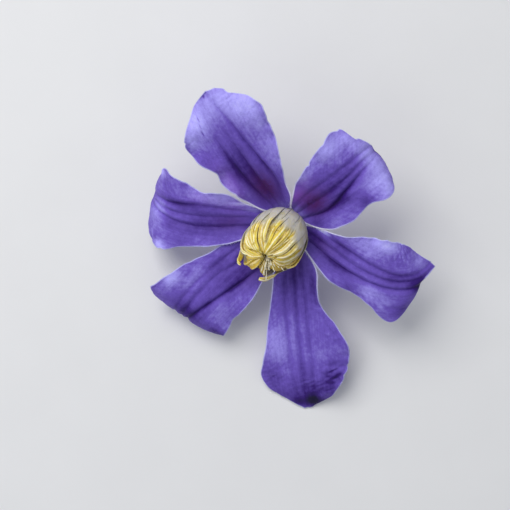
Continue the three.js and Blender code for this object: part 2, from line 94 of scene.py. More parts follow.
TEPALS = {
    "tepal_top_left": dict(
        heading=114, length=42.5, rise=(16, 16, 14, 8, -8), swing=(0, 2, 2, 0, -4),
        ccw=(1.8, 5.2, 7.2, 8.4, 9.9, 9.2, 12.2, 13.4, 10.8, 7.6, 5.2, 0.8),
        cw=(2.8, 5.3, 6.1, 7.8, 9.3, 10.6, 11.2, 11.8, 12, 9.6, 5.6, 1.6),
        cup_ccw=(25, 25, 15, 0, 0), cup_cw=(25, 25, 15, 0, 0),
        wave_ccw=(0.9, 4, 0.1), wave_cw=(0.8, 2.5, 0.3),
        grooves=[((1.6, 3.3, 4.1, 3.9, 2), (0.5, 1, 0.8, 0.15, 0)),
                 ((0.2, 0.6, 0.6, 0.6, 0.4), (0.4, 0.9, 0.7, 0.1, 0)),
                 ((-1.6, -3.9, -2.9, -1.8, 1), (0.5, 1, 1, 0.6, 0.3))],
        tones=((0.2, 1, 0.16, 4, -0.6), (0.42, 3, 0.16, 3.2, -0.8), (0.58, 1.5, 0.12, 2.5, -0.1),
               (0.84, -7, 0.15, 4.5, 1.0), (0.93, 0, 0.1, 5, 0.75), (0.84, 7, 0.1, 3.5, 1.15),
               (0.68, 8, 0.1, 3.5, 0.15), (0.36, 8, 0.12, 1.8, 0.4), (0.46, -8.5, 0.12, 3, 0.45),
               (0.65, -9, 0.05, 1.5, 0.4), (0.37, -2.5, 0.07, 1.5, -0.2), (0.25, 5, 0.05, 1, 0.3),
               (0.74, 11, 0.07, 2, 0.6), (0.8, -9.5, 0.1, 1.5, 0.35), (0.58, 10, 0.07, 2, -0.35),
               (0.03, 0, 0.07, 4, 0.5), (0.4, 5, 0.07, 1.3, -0.3), (0.55, -1, 0.06, 1, -0.3),
               (0.972, 1.8, 0.01, 0.3, -1.1), (0.85, 5.8, 0.02, 0.2, -1), (0.81, 6.2, 0.016, 0.2, -0.8),
               (0.755, 6.6, 0.02, 0.2, -0.9)),
        nicks=((0.29, 1, 0.02, 0.3), (0.66, -1, 0.03, 0.35), (0.978, -1, 0.014, -0.8),
               (0.945, -1, 0.01, 0.35), (0.735, 1, 0.008, 0.35)),
        wine=((0.22, 0, 0.14, 3.6, 1.35),), blush=((0.36, 8, 0.14, 2.4, 0.7),),
        crinkles=((0.7, 11, 0.12, 3, 0.6), (0.92, -3, 0.06, 4, 0.7))),
    "tepal_top_right": dict(
        heading=41, length=35.5, rise=(16, 14, 4, -36, -125), swing=(-2, -3, -3, -3, -3),
        ccw=(3, 5.6, 8.1, 9.4, 10.8, 12, 13.1, 13.7, 10.3, 4, 2.6, 1),
        cw=(2.6, 6.6, 8.6, 9.1, 9.6, 8.9, 8.4, 9.9, 9.8, 7.5, 5, 1),
        cup_ccw=(25, 20, 10, 0, 0), cup_cw=(25, 20, 10, 0, 0),
        wave_ccw=(1, 3.5, 0.2), wave_cw=(0.9, 2.5, 0.5),
        grooves=[((2, 3.6, 4, 4, 3), (0.3, 0.5, 0.4, 0.5, 0.2)),
                 ((0.2, 0.4, 1, 2, 1), (0.3, 0.5, 0.5, 0.5, 0.2)),
                 ((-2, -3.6, -1.6, 0.2, 0.5), (0.5, 1.2, 1.2, 0.4, 0))],
        tones=((0.18, 0, 0.12, 4, -0.6), (0.4, 1, 0.16, 3.4, -0.65), (0.55, 2, 0.12, 3, -0.3),
               (0.34, -3.4, 0.13, 1.3, -0.8), (0.77, -6, 0.09, 4, 0.85), (0.62, 11, 0.16, 3, 0.8),
               (0.83, 2, 0.09, 6, 0.85), (0.28, -7, 0.1, 2, 0.15), (0.58, -7, 0.05, 1.8, -0.6),
               (0.36, 9, 0.05, 1.5, 0.3), (0.03, 1, 0.07, 4, 0.5), (0.3, 9, 0.05, 1.5, 0.3),
               (0.11, -5, 0.06, 2, -0.5), (0.95, 1, 0.03, 2.5, -1.6), (0.76, 8, 0.05, 2.5, 0.35),
               (0.75, -9, 0.05, 1.5, 0.5), (0.22, 1, 0.06, 1.5, 0.2), (0.65, -4.6, 0.05, 1.6, 0.35),
               (0.3, 8, 0.07, 1.6, 0.35), (0.45, -3.5, 0.08, 1.5, -0.4), (0.15, 1, 0.04, 1.2, 0.3),
               (0.37, 7, 0.05, 1.5, -0.3)),
        nicks=((0.405, 1, 0.012, 0.45), (0.812, 1, 0.016, 1.6), (0.6, 1, 0.02, 0.3),
               (0.78, 1, 0.023, -1.2)),
        wine=((0.2, 0.5, 0.14, 3.8, 1.3),), blush=((0.14, 4.5, 0.1, 2.6, 1.6), (0.27, 7.5, 0.08, 2, 0.5)),
        crinkles=((0.7, -6, 0.1, 4, 0.5),)),
    "tepal_right": dict(
        heading=-24.5, length=43.5, rise=(14, 14, 10, -4, -50), swing=(-8, -7, 4, 27, 72),
        ccw=(1.4, 3.8, 5.4, 7.5, 10, 11.4, 11.7, 11.8, 11, 10.3, 8.2, 1),
        cw=(1.6, 4.2, 5.6, 6.6, 7.6, 8, 9.4, 13.8, 7.4, 2, 1, 0.8),
        cup_ccw=(25, 20, 10, 0, 0), cup_cw=(25, 20, 0, -20, -40),
        wave_ccw=(0.5, 3, 0.4), wave_cw=(0.8, 3, 0.3),
        grooves=[((2.2, 3.4, 3, 1.5, 1), (0.3, 0.6, 0.6, 0.7, 0.3)),
                 ((0.3, 0.7, 0.2, -0.4, -0.6), (0.2, 0.5, 0.6, 0.7, 0.3)),
                 ((-1.2, -2.1, -2.5, -2.8, -2.4), (0.4, 0.8, 0.9, 0.7, 0.2))],
        tones=((0.11, 0.5, 0.1, 3, -1), (0.3, 3, 0.1, 2, -0.6), (0.3, -2.5, 0.14, 2, -0.7),
               (0.44, 7.5, 0.15, 2.8, 0.45), (0.6, 10.8, 0.14, 2.4, 1.05), (0.74, 1, 0.14, 3.2, -0.45),
               (0.86, -2.4, 0.07, 2.4, -1.2), (0.93, 3.2, 0.06, 3, 0.5), (0.74, -9, 0.05, 3, -0.6),
               (0.57, -5.5, 0.08, 2.2, 0.5), (0.46, -6.5, 0.05, 1.6, -0.3), (0.12, 3.8, 0.06, 0.9, 2.4),
               (0.76, 3.2, 0.1, 1.2, 0.35), (0.66, 11.5, 0.05, 1.5, 0.2), (0.66, -8, 0.08, 2, 0.2),
               (0.72, -7, 0.05, 2, 0.3), (0.86, -3.2, 0.04, 1, -0.5)),
        nicks=((0.61, 1, 0.045, -0.8),),
        wine=((0.2, 0, 0.08, 2, 0.3),), blush=(),
        crinkles=((0.78, 8, 0.1, 3.5, 0.6), (0.55, 8, 0.12, 3, 0.4), (0.6, -8, 0.1, 3, 0.5))),
    "tepal_bottom": dict(
        heading=-84.5, length=53.5, rise=(13, 13, 10, 4, -15), swing=(0, 0, 0, 0, 0),
        ccw=(1.6, 4.9, 7.1, 7, 7.3, 11, 14, 13.7, 12, 9, 6.4, 1),
        cw=(1.4, 4, 5.6, 6.3, 7.6, 9, 9.7, 11.3, 12.6, 10.2, 5.8, 1.2),
        cup_ccw=(25, 15, 5, 0, -10), cup_cw=(25, 15, 5, 0, -10),
        wave_ccw=(1, 3.5, 0.2), wave_cw=(0.8, 3, 0.3),
        grooves=[((1.3, 2.6, 3, 3, 2), (0.3, 0.5, 0.4, 0.3, 0.1)),
                 ((0, 0.3, 0, 0, 0), (0.3, 0.6, 0.6, 0.5, 0.1)),
                 ((-1.3, -2.6, -3, -3, -2), (0.3, 0.5, 0.4, 0.3, 0.1))],
        tones=((0.2, 0, 0.12, 3.5, -0.65), (0.3, 6, 0.09, 2.5, -0.45), (0.38, -1, 0.1, 3.5, -0.2),
               (0.55, 10, 0.07, 2.5, -0.35), (0.8, -9, 0.08, 2.5, -0.5), (0.95, -3.5, 0.035, 2, -0.7),
               (0.15, 3, 0.06, 1.5, -0.3), (0.75, 0.5, 0.06, 1.6, -0.3), (0.6, -7, 0.1, 3.5, 0.5),
               (0.55, -1.5, 0.1, 2.5, 0.2), (0.66, 6, 0.06, 3, 0.15), (0.78, 9, 0.07, 3, -0.6),
               (0.87, 3, 0.07, 8, -0.7), (0.86, 7, 0.04, 2, -0.3), (0.96, 1, 0.05, 4, -0.6),
               (0.935, 1.6, 0.04, 1.8, -1.35), (0.955, 2.6, 0.03, 2.8, -0.7), (0.95, -2, 0.03, 1.6, -0.4),
               (0.9, -7, 0.03, 4, -0.4), (0.33, 3.5, 0.08, 2, -0.1), (0.24, 5.5, 0.09, 0.9, -0.45),
               (0.6, 9, 0.06, 3, 0.15), (0.8, 9.2, 0.012, 1.2, -0.5), (0.77, 8, 0.008, 1, -0.45),
               (0.83, 8, 0.01, 1, -0.5), (0.785, 10.4, 0.008, 0.8, -0.5)),
        nicks=((0.74, 1, 0.012, 0.35), (0.79, 1, 0.012, 0.45), (0.46, 1, 0.02, 0.25)),
        wine=((0.12, 0, 0.08, 3, 0.5),), blush=(),
        crinkles=((0.8, 9.5, 0.07, 2.8, 2.6), (0.78, -8, 0.07, 4, 0.9), (0.85, 2, 0.07, 5, 0.8),
                  (0.56, 10, 0.05, 2.5, 0.9))),
    "tepal_bottom_left": dict(
        heading=-137, length=47.5, rise=(17.2, 20.7, 16.3, -16.4, -150), swing=(0, 0, 2, 8, 14),
        ccw=(1.4, 4, 6, 7.5, 8.7, 9.2, 9.5, 10.4, 10.8, 9.6, 6.6, 1),
        cw=(1.4, 3.8, 6, 8.2, 9.3, 11.4, 12.8, 14, 13.4, 11, 7, 1),
        cup_ccw=(25, 20, 5, -20, -20), cup_cw=(15, -8, 0, 0, 0),
        wave_ccw=(0.5, 3, 0), wave_cw=(0.5, 3, 0.3),
        grooves=[((-2, -4.4, -5.8, -5.6, -3), (0.3, 0.5, 0.3, 0.35, 0.2)),
                 ((-0.4, -1, -3.2, -3, -1.5), (0.4, 0.55, 0.4, 0.5, 0.3)),
                 ((1.5, 3.9, 2.2, -0.2, -1), (0.5, 1.1, 1.1, 1, 0.3))],
        tones=((0.28, 4, 0.12, 3, -0.35), (0.36, 1.5, 0.12, 2.8, -0.7), (0.4, -5, 0.09, 1.6, -0.5),
               (0.76, -2, 0.07, 5, -1.1), (0.64, -12, 0.05, 2, 1.0), (0.5, 0, 0.15, 5, -0.1),
               (0.56, -7.5, 0.1, 2, 0.3), (0.62, 5, 0.1, 3, 0.25), (0.25, -2, 0.06, 2, -0.5),
               (0.76, 8, 0.05, 3, -0.9), (0.7, 9, 0.05, 1.5, 0.3), (0.25, -1.8, 0.05, 1.5, -1.0),
               (0.15, -1, 0.05, 1.5, 0.3), (0.31, 3.8, 0.05, 1.2, 0.5), (0.18, 4, 0.05, 1.5, -0.4),
               (0.5, -1, 0.12, 1.5, -0.25), (0.63, 1, 0.05, 1.2, -0.5), (0.45, 3, 0.06, 1.2, -0.3)),
        nicks=((0.6, 1, 0.03, 0.3), (0.5, -1, 0.03, 0.25), (0.77, -1, 0.035, -0.9)),
        wine=((0.3, 4, 0.08, 2, 0.3),), blush=(),
        crinkles=((0.7, 10, 0.1, 3, 0.4),)),
    "tepal_left": dict(
        heading=172, length=43.9, rise=(14, 14, 8, -36, -92), swing=(0, 4, 2, -5, -11),
        ccw=(1.4, 3.8, 6, 7.3, 7.6, 8.4, 9.7, 11.8, 11.6, 9.4, 6, 1),
        cw=(1.4, 3.6, 5.2, 8, 8.6, 8.4, 10.2, 11, 10.4, 8.4, 6, 1),
        cup_ccw=(30, 38, 20, 0, 0), cup_cw=(25, 20, 10, 0, 0),
        wave_ccw=(0.6, 3, 0), wave_cw=(0.9, 2.5, 0.4),
        grooves=[((-1.4, -2.6, -3.9, -2.4, -1), (0.3, 0.4, 0.6, 0.8, 0.3)),
                 ((0, -0.3, -0.7, -0.3, 0), (0.2, 0.3, 0.4, 0.7, 0.3)),
                 ((1.5, 2.5, 2.5, 1.9, 1.2), (0.3, 0.6, 0.75, 0.8, 0.3))],
        tones=((0.3, 1, 0.16, 3, -0.35), (0.48, 1, 0.16, 3, -0.4), (0.45, 4, 0.2, 1.5, -0.3),
               (0.64, -3.5, 0.15, 1.5, -0.75), (0.36, -7, 0.14, 2.4, 0.65), (0.8, 2, 0.12, 5, 0.4),
               (0.15, 3.3, 0.05, 1.5, -0.7), (0.15, -3, 0.05, 1, 0.4), (0.5, -2.8, 0.1, 1.2, -0.3),
               (0.72, 11, 0.04, 1.6, 1.1), (0.82, -10.5, 0.05, 2, 1.1), (0.78, 0, 0.06, 2.2, 0.3),
               (0.52, -7.5, 0.1, 2, 0.2), (0.2, -5, 0.09, 0.6, 1.5), (0.67, 3.6, 0.06, 1.5, -0.4)),
        nicks=((0.8, 1, 0.014, 0.3), (0.7, 1, 0.012, 0.3), (0.45, -1, 0.03, 0.3), (0.75, -1, 0.045, -1.4),
               (0.8, -1, 0.03, -0.6)),
        wine=((0.28, 1, 0.12, 2.5, 0.5),), blush=((0.25, -4.5, 0.1, 2, 0.5), (0.45, -6.5, 0.12, 2, 0.4)),
        crinkles=((0.8, 9.5, 0.05, 2.5, 1.2), (0.72, -8, 0.08, 3, 0.5))),
}

# Stamens: straps that leave a low rim, bulge outwards and close over the styles, with the whole barrel
# drooping to one side, where its mouth stays open, and a little flatter on another side. A draw for each
# strap sets its width and where its anther begins.
BARREL_DROOP = 15
BARREL_HEADING = -142
STAMEN_ROOT = 2.65
STAMEN_ROOT_HEIGHT = 1.5
STAMEN_BULGE = 8
BARREL_FLAT_HEADING = -40
BARREL_FLAT_SHARE = 0.09
STAMEN_WIDTH_STATIONS = (0, 0.15, 0.35, 0.52, 0.66, 0.86, 0.95, 1)
STAMEN_WIDTHS = (0.8, 2.0, 3.1, 2.9, 1.8, 1.5, 1.1, 0.45)
ANTHER_BEGINS = 0.63
ANTHER_BEGINS_SPREAD = 0.06
STAMEN_NARROWEST = 0.95
STAMEN_WIDTH_SPREAD = 0.22
ANTHER_FADE = 0.06
ANTHER_GRAIN = 0.035
ANTHER_SWAY = 0.22
STAMEN_CURL = 0.3
STAMEN_TURN_POWER = 1.6
STAMEN_STEPS = 44
STAMEN_SEED = 11

# The outer straps, one by one: their azimuth at the foot and at the tip, the radius and height of the tip,
# what their bulge is multiplied by, how far they roll over on their own length, how pale they are, which is
# painted light and shade (lit straps get brighter ridges, low ones a shaded ochre), and what the width is
# multiplied by where that isn't 1
OUTER_STAMENS = (
    dict(start=166, end=186, tip=5, height=15.4, bulge=0.98, roll=20, pale=1.3, wide=0.9),
    dict(start=147, end=158, tip=3.4, height=15.8, bulge=0.95, roll=-20, pale=0.7),
    dict(start=134, end=150, tip=2.9, height=16.4, bulge=0.95, roll=15, pale=0.5),
    dict(start=118, end=140, tip=2.2, height=16.6, bulge=0.98, roll=15, pale=0.8, wide=1.15),
    dict(start=103, end=128, tip=2.2, height=17, bulge=1, roll=20, pale=1, wide=1.1),
    dict(start=95, end=106, tip=2.2, height=16.6, bulge=0.995, roll=-10, pale=0.3),
    dict(start=89, end=86, tip=4.6, height=17.3, bulge=1.01, roll=30, pale=1.2, wide=0.8),
    dict(start=80, end=86, tip=1.4, height=16.6, bulge=0.995, roll=5, pale=0.2, wide=1.15),
    dict(start=66, end=80, tip=1.2, height=16.8, bulge=1, roll=30, pale=0.6),
    dict(start=53, end=60, tip=1, height=17.2, bulge=1.01, roll=-5, pale=1),
    dict(start=40, end=40, tip=1.6, height=16.8, bulge=0.99, roll=-30, pale=0.3),
    dict(start=30, end=14, tip=2.7, height=17.2, bulge=1.015, roll=15, pale=1.3, wide=0.95),
    dict(start=19, end=352, tip=3.4, height=16.6, bulge=1.005, roll=-10, pale=0.7, wide=1.1),
    dict(start=9, end=346, tip=3, height=16.4, bulge=0.99, roll=25, pale=0.3),
    dict(start=354, end=330, tip=2.7, height=15.8, bulge=1.03, roll=-5, pale=1.2, wide=1.3),
    dict(start=344, end=302, tip=7.4, height=12, bulge=0.97, roll=-25, pale=0.8, wide=1.15),
    dict(start=336, end=308, tip=5.4, height=13.8, bulge=0.96, roll=-10, pale=0.2),
    dict(start=326, end=318, tip=2.6, height=16, bulge=1, roll=15, pale=0.4),
    dict(start=312, end=300, tip=3.4, height=15, bulge=1, roll=35, pale=-0.3),
    dict(start=296, end=251, tip=9.2, height=14, bulge=1.03, roll=50, pale=0.9, wide=1.35),
    dict(start=290, end=286, tip=4.2, height=14.4, bulge=0.98, roll=20, pale=-0.3),
    dict(start=246, end=252, tip=3.4, height=14.6, bulge=1.14, roll=-35, pale=-0.3, wide=1.9),
    dict(start=230, end=216, tip=2, height=16, bulge=1.18, roll=30, pale=0.2, wide=2),
    dict(start=210, end=222, tip=1.6, height=16.6, bulge=1.08, roll=-25, pale=-0.1, wide=1.8),
    dict(start=192, end=207, tip=8.2, height=15.4, bulge=0.97, roll=10, pale=1, wide=0.85),
    dict(start=175, end=182, tip=4, height=15, bulge=0.92, roll=-30, pale=0.3),
)

# The straps behind them, which fill the barrel
INNER_STAMENS = (
    dict(count=28, bulge=0.99, height=16.4, tip=0.5, opened=2.2),
    dict(count=18, bulge=0.86, height=16.2, tip=0.6, opened=1.6),
    dict(count=12, bulge=0.62, height=15.9, tip=0.3, opened=0.9),
)

# Across a strap: a pale ridge down the outer face between two pollen sacs, and a shallow back. Each point
# is its place from -1 to 1 across, its height on the anther and its height on the filament.
STRAP_SECTION = (
    (1, 0, 0), (0.9, 0.16, 0.05), (0.68, 0.26, 0.09), (0.42, 0.22, 0.12), (0.24, 0.4, 0.14),
    (0, 0.52, 0.15),
    (-0.24, 0.4, 0.14), (-0.42, 0.22, 0.12), (-0.68, 0.26, 0.09), (-0.9, 0.16, 0.05), (-1, 0, 0),
    (-0.8, -0.18, -0.08), (-0.4, -0.22, -0.12), (0, -0.14, -0.1), (0.4, -0.22, -0.12), (0.8, -0.18, -0.08),
)

# Styles: white threads that rise inside the barrel and fan out of its mouth
STYLE_COUNT = 30
STYLE_STEPS = 30
STYLE_SIDES = 7
STYLE_HEIGHT = 16.6
STYLE_RADIUS = 0.09
STYLE_HEADING = -74
STYLE_REACH = 7.6
STYLE_SEED = 5
CARPELS_FOOT = 0.95
CARPELS_RADIUS = 1.1
CARPELS_HEIGHT = 2.3
CARPELS_SIDES = 20

# Receptacle and stalk, one grown piece: radii along its length, from the receptacle's flat top
RECEPTACLE_TOP = 0.6
STALK_RADIUS = 1.0
STALK_PROFILE = ((0, 3.3), (0.04, 3.35), (0.08, 2.9), (0.13, 2.0), (0.2, 1.35), (0.3, 1.0), (1, 0.95))
STALK_DROP = 15
STALK_END = (14, 21.5)
STALK_END_HEADING = 58
STALK_END_RUN = 11
STALK_RIBS = 8
STALK_RIB_HEIGHT = 0.06
STALK_ROUGHNESS = 0.03
STALK_SIDES = 64

# Down on the tepals' edges and on the stalk
DOWN_SEED = 23
HAIR_STEPS = (0, 0.55, 1)
HAIR_TAPER = (1, 0.7, 0.12)
HAIR_BEND = 0.3
EDGE_DOWN_PER_MM = 9
EDGE_DOWN_THINNED = 0.75
EDGE_HAIR_LENGTHS = (0.18, 0.42)
EDGE_HAIR_RADIUS = 0.02
STALK_DOWN_COUNT = 1500
STALK_DOWN_FIRST_RING = 20
STALK_DOWN_ABOVE = 0.4
STALK_HAIR_LENGTHS = (0.25, 0.7)
STALK_HAIR_RADIUS = 0.018

# The set: the floor's half side in metres, and an even pale light from all round
FLOOR_HALF_SIDE = 3.0
STUDIO_TINT = (0.9, 0.94, 1.0, 1.0)
STUDIO_STRENGTH = 0.4


# Curves, noise and places

def through(stations, values, t):
    """A smooth curve through values that are given at stations."""
    at, values, t = np.asarray(stations, float), np.asarray(values, float), np.asarray(t, float)
    step = np.diff(at)
    rate = np.diff(values) / step
    slope = np.empty_like(values)
    slope[0], slope[-1] = rate[0], rate[-1]
    slope[1:-1] = (rate[:-1] * step[1:] + rate[1:] * step[:-1]) / (step[:-1] + step[1:])
    k = np.clip(np.searchsorted(at, t, side="right") - 1, 0, len(step) - 1)
    x = (t - at[k]) / step[k]
    rise = values[k + 1] - values[k]
    first, second = slope[k] * step[k], slope[k + 1] * step[k]
    return values[k] + x * (first + x * (3 * rise - 2 * first - second + x * (first + second - 2 * rise)))


def smooth(x, low=0.0, high=1.0):
    """From 0 at low to 1 at high, with a soft start and end."""
    t = np.clip((x - low) / (high - low), 0, 1)
    return t * t * (3 - 2 * t)


def noise(x, y, seed):
    """Smooth noise from -1 to 1 over a plane, the same on every run."""
    x, y = np.broadcast_arrays(x, y)
    left, low = np.floor(x), np.floor(y)
    across, up = smooth(x - left), smooth(y - low)

    def corner(dx, dy):
        draw = np.sin((left + dx) * 127.1 + (low + dy) * 311.7 + seed * 74.7) * 43758.5453
        return 2 * (draw - np.floor(draw)) - 1

    below = corner(0, 0) * (1 - across) + corner(1, 0) * across
    above = corner(0, 1) * (1 - across) + corner(1, 1) * across
    return below * (1 - up) + above * up


def bell(x, half_width):
    return np.exp(-((x / half_width) ** 2))


def spots(places, u, across):
    """The sum of soft patches: share along the midrib, millimetres across, the reach both ways, amount."""
    total = np.zeros(np.shape(u))
    for at_u, at_across, reach_u, reach_across, amount in places:
        total = total + amount * bell(u - at_u, reach_u) * bell(across - at_across, reach_across)
    return total


def unit(vectors):
    return vectors / np.maximum(np.linalg.norm(vectors, axis=-1, keepdims=True), 1e-12)


def heading_vector(degrees):
    return np.array([math.cos(math.radians(degrees)), math.sin(math.radians(degrees)), 0.0])


def lean_matrix():
    hinge = Vector((0, 0, 1)).cross(Vector(heading_vector(LEAN_HEADING)))
    return np.array(Matrix.Rotation(math.radians(LEAN), 3, hinge))


def placed(points):
    """From the flower's own frame, in millimetres, to the scene, in metres."""
    return (points @ lean_matrix().T + np.array(CENTRE)) * MM


def on_surface(points):
    """Presses what would reach below the surface that the flower lies on back onto it."""
    return np.column_stack([points[:, :2], np.maximum(points[:, 2], REST_HEIGHT * MM)])


# Objects and meshes

def added(name, data):
    """A new object in the scene."""
    item = bpy.data.objects.new(name, data)
    bpy.context.scene.collection.objects.link(item)
    return item


def mesh_piece(name, points, faces, node, finish, fields):
    """A smooth closed mesh with named number fields on its points, riding where the CAD node is."""
    mesh = bpy.data.meshes.new(name)
    mesh.from_pydata(points.tolist(), [], [tuple(map(int, face)) for face in faces])
    for label, values in fields.items():
        layer = mesh.attributes.new(label, "FLOAT", "POINT")
        layer.data.foreach_set("value", np.asarray(values, np.float32).ravel())
    mesh.polygons.foreach_set("use_smooth", np.ones(len(mesh.polygons), bool))
    mesh.materials.append(finish)
    mesh.validate()
    piece = added(name, mesh)
    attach(piece, "root")
    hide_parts(node)


def tube_walls(rings, sides):
    """The four-sided faces between neighbouring rings of points."""
    ring = np.arange(rings - 1)[:, None] * sides
    side = np.arange(sides)[None, :]
    a, b = ring + side, ring + (side + 1) % sides
    return np.stack([a, b, b + sides, a + sides], -1).reshape(-1, 4)


def tube_faces(rings, sides):
    """Faces of a closed tube of rings of points, with a middle point added after them for each end cap."""
    near, far, last = rings * sides, rings * sides + 1, (rings - 1) * sides
    caps = [(near, (j + 1) % sides, j) for j in range(sides)]
    caps += [(far, last + j, last + (j + 1) % sides) for j in range(sides)]
    return [*tube_walls(rings, sides).tolist(), *caps]


def with_caps(rings):
    """The rings' points in one list, followed by the middle of the first ring and of the last."""
    return np.vstack([rings.reshape(-1, 3), rings[0].mean(0), rings[-1].mean(0)])


def joined(parts):
    """Several (points, faces, fields) as one."""
    points, faces, fields, start = [], [], {}, 0
    for part_points, part_faces, part_fields in parts:
        points.append(part_points)
        faces.extend([tuple(i + start for i in face) for face in part_faces])
        for label, values in part_fields.items():
            fields.setdefault(label, []).append(values)
        start += len(part_points)
    return np.vstack(points), faces, {label: np.concatenate(v) for label, v in fields.items()}


def down(roots, directions, lengths, radius, random):
    """Fine hairs as bent three-sided spikes, one from each root."""
    steps = np.array(HAIR_STEPS)[:, None]
    widths = np.array(HAIR_TAPER)[:, None] * radius
    faces = tube_faces(3, 3)
    fields = {"along": np.repeat([0, 0.5, 1, 0, 1], [3, 3, 3, 1, 1])}
    bend = unit(random.normal(size=roots.shape)) * lengths[:, None] * HAIR_BEND
    side = unit(np.cross(directions, unit(random.normal(size=roots.shape))))
    other = np.cross(directions, side)
    parts = []
    for root, along, curve, x, y, length in zip(roots, directions, bend, side, other, lengths):
        spine = root + along * (steps * length) + curve * steps ** 2
        rings = np.stack([spine + widths * (x * math.cos(a) + y * math.sin(a))
                          for a in (0, 2 * math.pi / 3, 4 * math.pi / 3)], 1)
        parts.append((with_caps(rings), faces, fields))
    return joined(parts)


# Tepals

def midrib_frame(tepal, u):
    """The midrib's direction at u, with the blade's sideways and upward directions there."""
    rise = np.radians(through(BEND_STATIONS, tepal["rise"], u))
    heading = np.radians(tepal["heading"] + through(BEND_STATIONS, tepal["swing"], u))
    along = np.stack([np.cos(rise) * np.cos(heading), np.cos(rise) * np.sin(heading), np.sin(rise)], -1)
    side = np.stack([-np.sin(heading), np.cos(heading), 0 * heading], -1)
    return along, side, np.cross(along, side)


def midrib_points(tepal, u):
    """Points of the midrib, added up from its foot in small steps."""
    steps = 240
    along, _, _ = midrib_frame(tepal, (np.arange(steps) + 0.5) / steps)
    start = TEPAL_FOOT_RADIUS * heading_vector(tepal["heading"])
    points = start + np.vstack([np.zeros(3), np.cumsum(along * tepal["length"] / steps, 0)])
    at = np.linspace(0, 1, steps + 1)
    return np.stack([np.interp(u, at, points[:, axis]) for axis in range(3)], -1)


def blade(tepal, seed):
    """The blade's middle surface as a grid of points, and the number fields over it."""
    u, v = np.meshgrid(np.linspace(0, 1, TEPAL_ROWS), np.linspace(-1, 1, TEPAL_COLUMNS), indexing="ij")
    left = v >= 0
    out = np.abs(v)
    width = np.where(left, through(OUTLINE_STATIONS, tepal["ccw"], u),
                     through(OUTLINE_STATIONS, tepal["cw"], u))
    for at, which, reach, depth in tepal["nicks"]:
        width = width - (np.sign(v) == which) * depth * bell(u - at, reach)
    cup = np.radians(np.where(left, through(BEND_STATIONS, tepal["cup_ccw"], u),
                              through(BEND_STATIONS, tepal["cup_cw"], u)))
    cup = np.where(np.abs(cup) < 1e-4, 1e-4, cup)
    arc, along = v * width, u * tepal["length"]

    folds, lines = 0, 0
    for places, depths in tepal["grooves"]:
        off = arc - through(BEND_STATIONS, places, u)
        depth = np.maximum(through(BEND_STATIONS, depths, u), 0)
        folds = folds + depth * bell(off, GROOVE_HALF_WIDTH)
        lines = lines + depth * bell(off, GROOVE_LINE_WIDTH)

    wave = 0
    for mask, (height, count, start) in ((left, tepal["wave_ccw"]), (~left, tepal["wave_cw"])):
        wave = wave + mask * height * np.sin(2 * np.pi * (count * u + start))
    wave = wave * out ** EDGE_WAVE_POWER * through(BEND_STATIONS, EDGE_WAVE_FADE, u)
    frill = FRILL_HEIGHT * noise(along / FRILL_LENGTH, left * 7.0, seed) * out ** 6 * smooth(u, 0.15, 0.4)

    wing = smooth(np.abs(arc), WING_BEGINS, WING_FULL)
    forward = (along - BRANCH_SLANT * np.abs(arc)) / BRANCH_SPACING
    branches = bell(noise(forward, arc / 6 + 40, seed + 1), 0.2) * wing * smooth(u, 0.1, 0.35)
    strands = bell(noise(arc / STRAND_SPACING, along / 15, seed + 2), 0.22) * (1 - 0.6 * wing)
    quilt = noise(along / 1.7, arc / 1.5, seed + 3) * smooth(u, 0.1, 0.4)
    relief = QUILT_HEIGHT * quilt * (0.4 + 0.6 * wing) - BRANCH_DEPTH * branches - STRAND_DEPTH * strands
    relief = relief + PEBBLE_HEIGHT * noise(along / 0.7, arc / 0.65, seed + 4)
    slanted = (along + RIPPLE_SLANT * arc) / RIPPLE_SPACING
    ripples = spots(tepal["crinkles"], u, arc) * noise(slanted, arc / 2.2 + 9, seed + 5)
    relief = relief + RIPPLE_HEIGHT * ripples

    across = np.sign(v) * width * np.sin(cup * out) / cup
    lift = width * (1 - np.cos(cup * out)) / cup - GROOVE_DEPTH * folds + wave + frill + relief
    _, side, up = midrib_frame(tepal, u)
    points = midrib_points(tepal, u) + side * across[..., None] + up * lift[..., None]
    margin = np.minimum(width * (1 - out), tepal["length"] * (1 - u))
    # The tone takes in the ripples as painted shading: lighter where they rise, darker where they sink
    fields = dict(along=u, groove=np.clip(lines, 0, 1.3), branch=branches, strand=strands, margin=margin,
                  across=arc, distance=along, tone=spots(tepal["tones"], u, arc) + RIPPLE_PAINTED_SHADING * ripples,
                  wine=spots(tepal["wine"], u, arc), blush=spots(tepal["blush"], u, arc))
    return points, fields


def surface_normals(points):
    return unit(np.cross(np.gradient(points, axis=0), np.gradient(points, axis=1)))


